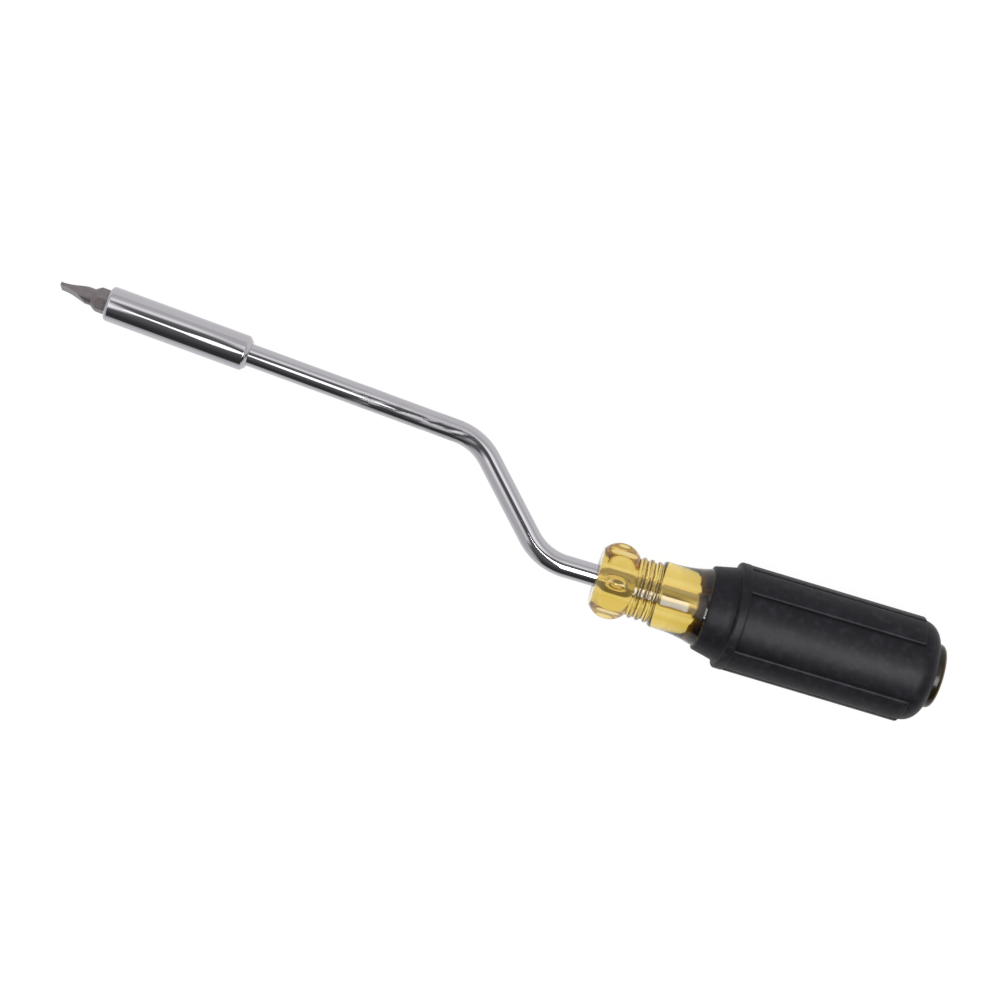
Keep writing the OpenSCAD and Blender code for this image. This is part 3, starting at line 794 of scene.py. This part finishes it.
outline = [(CAVITY_R, CORE_REAR), (CORE_REAR_R, CORE_REAR), (CORE_REAR_R, REAR_CONE[0])]
outline += [(BARREL_R, REAR_CONE[1])] + rows(BARREL_R, 20, BARREL_END, 4)
flare_start = math.degrees(math.acos((WAIST_R + FLARE_R - BARREL_R) / FLARE_R))
outline += arc((WAIST_R + FLARE_R, WAIST_FRONT - WAIST_L), FLARE_R, 180 + flare_start, 180, 28)
outline += arc((WAIST_R - WAIST_EDGE, WAIST_FRONT - WAIST_EDGE), WAIST_EDGE, 0, 90, 12)
outline += [(GROOVE_R, WAIST_FRONT)]
bead_end = math.degrees(math.acos((GROOVE_R - BEAD_AXIS_R) / BEAD_R))
for bead in range(BEADS):
    outline += arc((BEAD_AXIS_R, FIRST_BEAD + BEAD_PITCH * bead), BEAD_R, -bead_end, bead_end, 14)
knob_start = -math.degrees(math.acos((GROOVE_R - KNOB_MIDDLE[0]) / KNOB_ARC))
knob_stop = math.degrees(math.asin((CORE_FRONT - KNOB_MIDDLE[1]) / KNOB_ARC))
outline += arc(KNOB_MIDDLE, KNOB_ARC, knob_start, knob_stop, 56)
outline += [(radius, CORE_FRONT) for radius in (6.3, 5.0, 3.6)] + [(JOURNAL_R, CORE_FRONT - 0.25)]
outline += rows(JOURNAL_R, CORE_FRONT - 1, JOURNAL_END, 4) + rows(AIR_R, JOURNAL_END, BUSH_SEAT, 12)
outline += [(BUSH_SEAT_R, BUSH_SEAT), (BUSH_SEAT_R, CAVITY_FRONT), (CAVITY_R, CAVITY_FRONT)]
print("core outline has", len(outline), "points")

# %% [markdown]
# The spin makes the turned form. Then the eight scallops are pressed into the knob. A boolean could
# cut them, but it leaves long thin faces and knife edges, and a moulding has neither. Instead each
# point of the knob is drawn in to the scallop's cylinder by a smooth minimum, which rounds the edge
# between scallop and lobe by itself.

# %% Handle core
SCALLOPS = 8
SCALLOP_R = 11
SCALLOP_FLOOR = 9.75
SCALLOP_BLEND = 0.9
KNOB_REAR = 88.9
CORE_COLUMNS = 256


def spin_up(outline, steps, closed):
    """Spins an outline of (radius, height) points round Z."""
    bm = bmesh.new()
    points = [bm.verts.new((radius, 0, height)) for radius, height in outline]
    ends = points[1:] + points[:1] if closed else points[1:]
    edges = [bm.edges.new(pair) for pair in zip(points, ends)]
    bmesh.ops.spin(bm, geom=points + edges, cent=(0, 0, 0), axis=(0, 0, 1), angle=2 * math.pi,
                   steps=steps, use_merge=True)
    bmesh.ops.remove_doubles(bm, verts=bm.verts, dist=WELD)
    return bm


def smooth_min(a, b, blend):
    mix = min(max(0.5 + 0.5 * (b - a) / blend, 0), 1)
    return b + (a - b) * mix - blend * mix * (1 - mix)


def scallop_r(angle):
    share = 2 * math.pi / SCALLOPS
    off = angle % share - share / 2
    middle = SCALLOP_FLOOR + SCALLOP_R
    return middle * math.cos(off) - math.sqrt(SCALLOP_R**2 - (middle * math.sin(off)) ** 2)


bm = spin_up(outline, CORE_COLUMNS, closed=True)
moved = 0
for v in bm.verts:
    radius = math.hypot(v.co.x, v.co.y)
    if v.co.z > KNOB_REAR and radius > GROOVE_R:
        drawn = smooth_min(radius, scallop_r(math.atan2(v.co.y, v.co.x)), SCALLOP_BLEND)
        v.co.xy *= drawn / radius
        moved += drawn < radius - 1e-4
print(moved, "points of the knob drawn in to the scallops")

# %% [markdown]
# The plastic is a clear cellulose moulding, dyed amber. Its colour isn't on the surface: light loses
# blue and then green on its way through, so thin edges are pale and thick parts deep. A volume that
# absorbs light gives that. At the rear foot of each bead a narrow ring of the surface is tinted dark
# brown: painted shade for the dark lines that the beads bend into the clear plastic. The place along
# the handle is wrapped to one bead's pitch, so one test finds all three rings.

# %% Material: amber plastic
AMBER_DYE = (0.84, 0.72, 0.05, 1)
AMBER_DENSITY = 100
AMBER_IOR = 1.475
SHADE_LINE_BEHIND = 0.68
SHADE_LINE_HALF_W = 0.22
PITCH_START = FIRST_BEAD - 1.75
BEADED_MIDDLE = 85.0
BEADED_HALF = 2.8

core_amber, tree = make_material("clear_amber_cellulose")
place = add_node(tree, "ShaderNodeTexCoord").outputs["Object"]
flow = add_node(tree, "ShaderNodeTexNoise", {"Vector": place, "Scale": per_mm(5), "Detail": 3})
rub = add_node(tree, "ShaderNodeTexNoise", {"Vector": place, "Scale": per_mm(0.9), "Detail": 6})
dull = add_node(tree, "ShaderNodeMapRange", {0: rub.outputs[0], 1: 0.4, 2: 0.75, 3: 0.05, 4: 0.11})
bump = add_node(tree, "ShaderNodeBump", {
    "Height": flow.outputs[0], "Strength": 0.3, "Distance": 0.06 * MM})
along = add_node(tree, "ShaderNodeSeparateXYZ", {0: place}).outputs["X"]
station = add_node(tree, "ShaderNodeMath", {0: along, 1: -1 / MM}, operation="MULTIPLY")
beaded = add_node(tree, "ShaderNodeMath", {
    0: station.outputs[0], 1: BEADED_MIDDLE, 2: BEADED_HALF}, operation="COMPARE")
in_pitch = add_node(tree, "ShaderNodeMath", {
    0: station.outputs[0], 1: PITCH_START + BEAD_PITCH, 2: PITCH_START}, operation="WRAP")
at_foot = add_node(tree, "ShaderNodeMath", {
    0: in_pitch.outputs[0], 1: FIRST_BEAD - SHADE_LINE_BEHIND, 2: SHADE_LINE_HALF_W}, operation="COMPARE")
# painted shade: a dark ring at the rear foot of each bead
painted_shade_ring = add_node(tree, "ShaderNodeMath", {
    0: beaded.outputs[0], 1: at_foot.outputs[0]}, operation="MULTIPLY")
tint = add_node(tree, "ShaderNodeMix", {
    0: painted_shade_ring.outputs[0], 6: linear("#fff4d2"), 7: linear("#6b4a1c")}, data_type="RGBA")
clear = add_node(tree, "ShaderNodeBsdfPrincipled", {
    "Base Color": tint.outputs[2], "Roughness": dull.outputs[0], "IOR": AMBER_IOR,
    "Transmission Weight": 1.0, "Normal": bump.outputs[0]})
depth = add_node(tree, "ShaderNodeVolumeAbsorption", {"Color": AMBER_DYE, "Density": AMBER_DENSITY})
add_node(tree, "ShaderNodeOutputMaterial", {"Surface": clear.outputs[0], "Volume": depth.outputs[0]})
print("made", core_amber.name)

# %% [markdown]
# Where the rubber is moulded on there is no air behind the surface, so nothing shines back there: those
# faces get a second material, the dark of the rubber seen through the amber. Over the last few
# millimetres before the grip's front lip the dark turns to gold: painted light for the light that
# creeps in under the lip.

# %% Material: amber backed by rubber
LIP_DEPTH = 2.5
BACKED_R = 7.5

dark_backing_and_lip_light, tree = make_material("amber_dark_backing_and_painted_lip_light")
place = add_node(tree, "ShaderNodeTexCoord").outputs["Object"]
bond = add_node(tree, "ShaderNodeTexNoise", {"Vector": place, "Scale": per_mm(3), "Detail": 4})
dark = add_node(tree, "ShaderNodeMix", {
    0: bond.outputs[0], 6: linear("#0d0b07"), 7: linear("#1a160c")}, data_type="RGBA")
along = add_node(tree, "ShaderNodeSeparateXYZ", {0: place}).outputs["X"]
lip_light_mask = add_node(tree, "ShaderNodeMapRange", {
    0: along, 1: (LIP_DEPTH - BARREL_END) * MM, 2: -BARREL_END * MM})
# painted light: the dark turns to gold towards the grip's front lip
painted_lip_light = add_node(tree, "ShaderNodeMix", {
    0: lip_light_mask.outputs[0], 6: dark.outputs[2], 7: linear("#dcc64a")}, data_type="RGBA")
backing = add_node(tree, "ShaderNodeBsdfPrincipled", {
    "Base Color": painted_lip_light.outputs[2], "Roughness": 0.6, "Specular IOR Level": 0.0})
add_node(tree, "ShaderNodeOutputMaterial", {"Surface": backing.outputs[0]})

for face in bm.faces:
    middle = face.calc_center_median()
    if middle.z < BARREL_END and math.hypot(middle.x, middle.y) > BACKED_R:
        face.material_index = 1
add_piece("handle_core", bm, on_handle, "handle", [core_amber, dark_backing_and_lip_light], sharp=40)

# %% [markdown]
# ## The end plug
# A cap of the same plastic closes the rear cavity. Only its rounded rim shows past the grip. It is a
# turned piece too, with a pocket in its inner end for the ball that takes the push of the palm. Its
# seat, its spigot and its pocket get the same dark as the core's barrel: against the rubber that is the
# rubber's own dark, and inside the core it is painted shade for the dark inside of the handle.

# %% End plug
PLUG_T = 2.5
PLUG_R = 9.2
PLUG_ROUND = 1.4
SPIGOT_R = 6.405
SPIGOT_END = 11.2
POCKET_R = 2.58
POCKET_FLOOR = 8.9
PLUG_COLUMNS = 128

outline = [(0, 0), (4, 0), (7.3, 0)]
outline += arc((PLUG_R - PLUG_ROUND, PLUG_ROUND), PLUG_ROUND, -90, 0, 12)
outline += [(PLUG_R, PLUG_T), (SPIGOT_R, PLUG_T), (SPIGOT_R, SPIGOT_END)]
outline += [(POCKET_R, SPIGOT_END), (POCKET_R, POCKET_FLOOR), (0, POCKET_FLOOR)]
bm = spin_up(outline, PLUG_COLUMNS, closed=False)
# painted shade on the plug's seat, spigot and pocket, inside the handle
for face in bm.faces:
    if face.calc_center_median().z > PLUG_T - 0.05:
        face.material_index = 1
print("plug outline has", len(outline), "points")

# %% [markdown]
# The cap is thick and has the dark inside of the handle behind it, so it looks deep brown and hardly
# clear. Only its rounded outer edge and its face, where light comes in from behind, are gold. A clear
# volume this dense is slow and grainy to render, so the light and the shade in it are painted into the
# colour: painted shade round the side and painted light, gold, towards the face.

# %% Material: deep amber cap
GOLD_FROM = 0.8
GOLD_FULL = 0.1

cap_painted_light_and_shade, tree = make_material("deep_amber_cap_painted_light_and_shade")
place = add_node(tree, "ShaderNodeTexCoord").outputs["Object"]
along = add_node(tree, "ShaderNodeSeparateXYZ", {0: place}).outputs["X"]
cloud = add_node(tree, "ShaderNodeTexNoise", {"Vector": place, "Scale": per_mm(4), "Detail": 4})
# painted light and shade: dark round the side, gold towards the face
gold_glow_mask = add_node(tree, "ShaderNodeMapRange", {0: along, 1: -GOLD_FROM * MM, 2: -GOLD_FULL * MM})
deep_and_shaded = add_node(tree, "ShaderNodeMix", {
    0: cloud.outputs[0], 6: linear("#1b160b"), 7: linear("#2e2611")}, data_type="RGBA")
amber = add_node(tree, "ShaderNodeMix", {
    0: gold_glow_mask.outputs[0], 6: deep_and_shaded.outputs[2], 7: linear("#7d6424")}, data_type="RGBA")
dull = add_node(tree, "ShaderNodeMapRange", {0: cloud.outputs[0], 1: 0.3, 2: 0.7, 3: 0.16, 4: 0.26})
plastic = add_node(tree, "ShaderNodeBsdfPrincipled", {
    "Base Color": amber.outputs[2], "Roughness": dull.outputs[0], "IOR": AMBER_IOR,
    "Specular IOR Level": 0.3})
add_node(tree, "ShaderNodeOutputMaterial", {"Surface": plastic.outputs[0]})

add_piece("end_plug", bm, on_handle, "handle", [cap_painted_light_and_shade, dark_backing_and_lip_light], sharp=40)

# %% [markdown]
# ## The cushion grip
# The grip is a thick rubber sleeve with a round rear end, two wide panels, three long ribs on each
# side, a shoulder band and a tapered collar. The band and the ribs stand at one level and the panels
# lie below it. The sleeve is spun from its outline with 360 columns. The ribs could be extruded from
# its faces, but their front ends would then meet the band wall to wall. Lifting the points keeps one
# skin: columns and rows close to an edge are drawn together to make a steep wall with soft edges.
# Each row of a wall has its place from the edge and its lift, from 0 to 1.

# %% Outline of the grip
GRIP_BASE = 14.4
GRIP_TOP = 15.3
RIB_TOP = 15.2
RIB_S = 8.1
BAND_S = 58.9
SHOULDER_S = 61.9
SHOULDER_R = 0.9
REAR_ROUND = 5.4
COLLAR_R = 13.5
COLLAR_S = SHOULDER_S + 0.16
COLLAR_L = 6.2
COLLAR_TAPER = 1.4
COLLAR_STEPS = 8
GRIP_FRONT = BARREL_END
GRIP_BORE_R = 11.17
GRIP_REAR_R = 7.645
RIB_ROWS = 11
ROW_STEP = 4.7
ROW_WALL = [(-0.16, 0.0), (-0.06, 0.04), (0.0, 0.35), (0.07, 0.82), (0.22, 1.0)]

lift_rows = [RIB_S + place for place, _ in ROW_WALL] + [RIB_S + 2 + i * ROW_STEP for i in range(RIB_ROWS)]
lift_rows += [BAND_S + place for place, _ in ROW_WALL] + [59.8, 60.5]
skin = [(GRIP_REAR_R, PLUG_T)]
skin += arc((GRIP_BASE - REAR_ROUND, PLUG_T + REAR_ROUND), REAR_ROUND, -90, 0, 20)
skin += [(GRIP_BASE, s) for s in lift_rows]
skin += arc((GRIP_TOP - SHOULDER_R, SHOULDER_S - SHOULDER_R), SHOULDER_R, 0, 90, 10)
skin += [(COLLAR_R + 0.3, SHOULDER_S), (COLLAR_R + 0.1, SHOULDER_S + 0.04), (COLLAR_R, COLLAR_S)]
for step in range(1, COLLAR_STEPS + 1):
    share = step / COLLAR_STEPS
    skin.append((COLLAR_R - COLLAR_TAPER * share, COLLAR_S + COLLAR_L * share))
skin += [(12.03, GRIP_FRONT - 0.12), (11.93, GRIP_FRONT - 0.03), (11.8, GRIP_FRONT)]
skin += [(GRIP_BORE_R, GRIP_FRONT), (GRIP_BORE_R, REAR_CONE[1]), (GRIP_REAR_R, REAR_CONE[0])]
print("grip outline has", len(skin), "points")

# %% [markdown]
# Five columns make each long wall of a rib. For each of them a row of numbers gives which column it is,
# its place from the edge in degrees, its lift, and a value for the material: above 0 on the rib's top
# edge, which is worn and also gets a painted highlight, and below 0 at its foot, which gets painted
# shade. The points keep that value in an attribute. At its two sides the shoulder band is drawn back a
# little.

# %% Columns of the ribs
COLUMN_WALL = [
    (-2, -1.5, 0.0, -0.6),
    (-1, -0.5, 0.03, -1.0),
    (0, -0.1, 0.3, -0.6),
    (1, 0.14, 0.8, 0.8),
    (2, 0.7, 1.0, 1.0),
]
COLUMNS = 360
RIB_SPAN = 35
SWEEP = 0.9
SWEEP_OUTSIDE_R = 13.4
RIB_STARTS = [side + first for side in (0, 180) for first in (33.5, 72.5, 111.5)]


def rib_column(degrees):
    """Where a column goes round the grip, the ribs' lift there, and its value for the material."""
    for low in RIB_STARTS:
        high = low + RIB_SPAN
        for step, offset, lift, edge in COLUMN_WALL:
            if abs(degrees - low - step + 0.5) < 0.1:
                return low + offset, lift, edge
            if abs(high - degrees - step + 0.5) < 0.1:
                return high - offset, lift, edge
        if low < degrees < high:
            return degrees, 1.0, 0.0
    return degrees, 0.0, 0.0


def wall_lift(s, edge):
    for place, lift in ROW_WALL:
        if s <= edge + place + 1e-4:
            return lift
    return 1.0


print("ribs start at", RIB_STARTS, "degrees")

# %% Cushion grip
bm = spin_up(skin, COLUMNS, closed=True)
rib_edge = bm.verts.layers.float.new("rib_edge")
for v in bm.verts:
    radius = math.hypot(v.co.x, v.co.y)
    degrees = math.degrees(math.atan2(v.co.y, v.co.x)) % 360
    column, rib, edge = rib_column(degrees)
    if radius > GRIP_BASE - 0.001 and v.co.z < SHOULDER_S - SHOULDER_R - 0.1:
        rib_rise = rib * wall_lift(v.co.z, RIB_S) * (RIB_TOP - GRIP_BASE)
        radius = GRIP_BASE + max(rib_rise, wall_lift(v.co.z, BAND_S) * (GRIP_TOP - GRIP_BASE))
        v[rib_edge] = edge * wall_lift(v.co.z, RIB_S) * (1 - wall_lift(v.co.z, BAND_S))
    v.co.x = radius * math.cos(math.radians(column))
    v.co.y = radius * math.sin(math.radians(column))
    if radius > SWEEP_OUTSIDE_R and v.co.z > BAND_S - 0.2:
        v.co.z -= SWEEP * math.cos(math.radians(column)) ** 2
print("ribs lifted by", round(RIB_TOP - GRIP_BASE, 2), "mm")

# %% [markdown]
# The rubber is a soft black compound, moulded against a fine sand-blasted steel tool. That gives a
# satin skin with a very fine grain, slightly lighter where it has been handled and where dust sits.
# The grain is drawn about twice its real size, so that it still shows in a picture of the whole tool.
# The ribs' top edges are lighter, partly rubbed and partly a painted highlight, and their feet are
# darkened as painted shade, by the attribute of the last cell.

# %% Material: grip rubber
grip_rubber, tree = make_material("moulded_black_rubber")
place = add_node(tree, "ShaderNodeTexCoord").outputs["Object"]
blotch = add_node(tree, "ShaderNodeTexNoise", {"Vector": place, "Scale": per_mm(14), "Detail": 5})
grain = add_node(tree, "ShaderNodeTexNoise", {"Vector": place, "Scale": per_mm(0.45), "Detail": 3})
dust = add_node(tree, "ShaderNodeTexNoise", {"Vector": place, "Scale": per_mm(2.2), "Detail": 7})
dusty = add_node(tree, "ShaderNodeMapRange", {0: dust.outputs[0], 1: 0.48, 2: 0.72, 3: 0.0, 4: 0.5})
black = add_node(tree, "ShaderNodeMix", {
    0: blotch.outputs[0], 6: linear("#131217"), 7: linear("#1c1a21")}, data_type="RGBA")
skin_colour = add_node(tree, "ShaderNodeMix", {
    0: dusty.outputs[0], 6: black.outputs[2], 7: linear("#333138")}, data_type="RGBA")
edge = add_node(tree, "ShaderNodeAttribute", attribute_name="rib_edge").outputs["Fac"]
# partly wear, partly painted highlight: lighter on the ribs' top edges
worn_and_lit_edge = add_node(tree, "ShaderNodeMath", {
    0: edge, 1: dust.outputs[0]}, operation="MULTIPLY", use_clamp=True)
worn_and_lit_skin = add_node(tree, "ShaderNodeMix", {
    0: worn_and_lit_edge.outputs[0], 6: skin_colour.outputs[2], 7: linear("#3f3d43")}, data_type="RGBA")
# painted shade: near black at the foot of each rib
foot_shade = add_node(tree, "ShaderNodeMath", {0: edge, 1: -0.9}, operation="MULTIPLY", use_clamp=True)
skin_with_painted_shade = add_node(tree, "ShaderNodeMix", {
    0: foot_shade.outputs[0], 6: worn_and_lit_skin.outputs[2], 7: linear("#050406")}, data_type="RGBA")
dull = add_node(tree, "ShaderNodeMapRange", {0: blotch.outputs[0], 1: 0.3, 2: 0.7, 3: 0.44, 4: 0.52})
bump = add_node(tree, "ShaderNodeBump", {
    "Height": grain.outputs[0], "Strength": 0.3, "Distance": 0.06 * MM})
rubber = add_node(tree, "ShaderNodeBsdfPrincipled", {
    "Base Color": skin_with_painted_shade.outputs[2], "Roughness": dull.outputs[0], "IOR": 1.5,
    "Specular IOR Level": 0.14, "Normal": bump.outputs[0]})
add_node(tree, "ShaderNodeOutputMaterial", {"Surface": rubber.outputs[0]})

add_piece("cushion_grip", bm, on_handle, "handle", [grip_rubber], sharp=50)

# %% [markdown]
# ## The pieces inside
# Six small pieces never show in the picture, but they do when the bit is pulled out or when someone
# looks into the model: the spring clip, the magnet, the retaining ring, the bush, the washer and the
# ball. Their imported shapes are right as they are, so they only get their materials: bright drawn
# spring wire, nickel plate, sintered bronze with its pores, ground steel and a polished ball.

# %% Materials of the inner pieces
def bare_metal(name, colour, second, size, rough, relief):
    """A metal whose colour and gloss vary by a noise of a real size in millimetres."""
    material, tree = make_material(name)
    place = add_node(tree, "ShaderNodeTexCoord").outputs["Object"]
    spots = add_node(tree, "ShaderNodeTexNoise", {"Vector": place, "Scale": per_mm(size), "Detail": 4})
    tint = add_node(tree, "ShaderNodeMix", {
        0: spots.outputs[0], 6: linear(colour), 7: linear(second)}, data_type="RGBA")
    dull = add_node(tree, "ShaderNodeMapRange", {
        0: spots.outputs[0], 1: 0.3, 2: 0.7, 3: rough, 4: rough * 1.5})
    bump = add_node(tree, "ShaderNodeBump", {
        "Height": spots.outputs[0], "Strength": relief, "Distance": 0.03 * MM})
    metal = add_node(tree, "ShaderNodeBsdfPrincipled", {
        "Base Color": tint.outputs[2], "Metallic": 1.0, "Roughness": dull.outputs[0],
        "Normal": bump.outputs[0]})
    add_node(tree, "ShaderNodeOutputMaterial", {"Surface": metal.outputs[0]})
    return material


spring_wire = bare_metal("bright_drawn_spring_steel", "#9a9a9d", "#aeaeb1", 0.6, 0.22, 0.1)
inner_finishes = {
    "bit_clip": spring_wire,
    "retaining_ring": spring_wire,
    "socket_magnet": bare_metal("nickel_plated_magnet", "#b5b0a6", "#c3beb3", 1.0, 0.16, 0.1),
    "rear_bush": bare_metal("sintered_bronze", "#8a6a3d", "#b38f5a", 0.25, 0.4, 0.6),
    "thrust_washer": bare_metal("ground_steel_washer", "#9b9b9c", "#b0b0b1", 0.3, 0.3, 0.25),
    "thrust_ball": bare_metal("polished_bearing_ball", "#c0c1c3", "#c6c7c9", 2.0, 0.06, 0.03),
}
for name, finish in inner_finishes.items():
    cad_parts[name].material_slots[0].material = finish
    print(name, "gets", finish.name)

# %% [markdown]
# ## The sizes
# Looks must not change the tool's dimensions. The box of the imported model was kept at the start, and
# here the box of the finished model is set beside it.

# %% Compare the boxes and finish
visual_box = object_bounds()
for word, box in (("packed", cad_box), ("visual", visual_box)):
    print(word, [round((high - low) / MM, 2) for low, high in zip(*box)], "mm")
